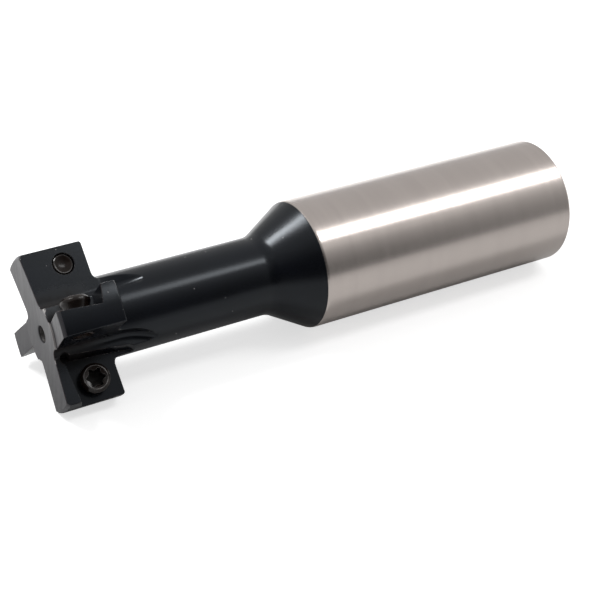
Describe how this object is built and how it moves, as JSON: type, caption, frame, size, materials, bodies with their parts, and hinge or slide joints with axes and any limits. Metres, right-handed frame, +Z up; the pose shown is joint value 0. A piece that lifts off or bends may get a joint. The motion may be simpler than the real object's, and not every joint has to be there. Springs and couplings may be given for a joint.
{
  "type": "indexable t-slot cutter",
  "caption": "Indexable T-slot milling cutter: ground parallel shank, waisted blackened neck and a cross-shaped head with empty insert seats and their clamping screws.",
  "frame": {"origin": "on the tool axis, where the parallel part of the shank begins behind the cone", "axes": "+X along the tool axis, out of the shank's free end; the head is towards -X; +Z up with the tool lying on its side"},
  "size_m": [0.1125, 0.0254, 0.0254],
  "materials": {
    "tool_steel": "satin",
    "screw_steel": "satin"
  },
  "bodies": {
    "cutter": {"cutter_body": "tool_steel"},
    "screw_1": {"insert_screw_1": "screw_steel"},
    "screw_2": {"insert_screw_2": "screw_steel"},
    "screw_3": {"insert_screw_3": "screw_steel"},
    "screw_4": {"insert_screw_4": "screw_steel"}
  },
  "joints": [
    {"name": "screw_1_turn", "type": "hinge", "parent": "cutter", "child": "screw_1", "pos_m": [-0.04695, 0.00779, 0.00725], "axis": [-0.0872, 0.6766, -0.7312], "range_deg": [0, 2210]},
    {"name": "screw_2_turn", "type": "hinge", "parent": "cutter", "child": "screw_2", "pos_m": [-0.04925, -0.00725, 0.00779], "axis": [0.0872, 0.7312, 0.6766], "range_deg": [0, 2210]},
    {"name": "screw_3_turn", "type": "hinge", "parent": "cutter", "child": "screw_3", "pos_m": [-0.04695, -0.00779, -0.00725], "axis": [-0.0872, -0.6766, 0.7312], "range_deg": [0, 2210]},
    {"name": "screw_4_turn", "type": "hinge", "parent": "cutter", "child": "screw_4", "pos_m": [-0.04925, 0.00725, -0.00779], "axis": [0.0872, -0.7312, -0.6766], "range_deg": [0, 2210]}
  ]
}
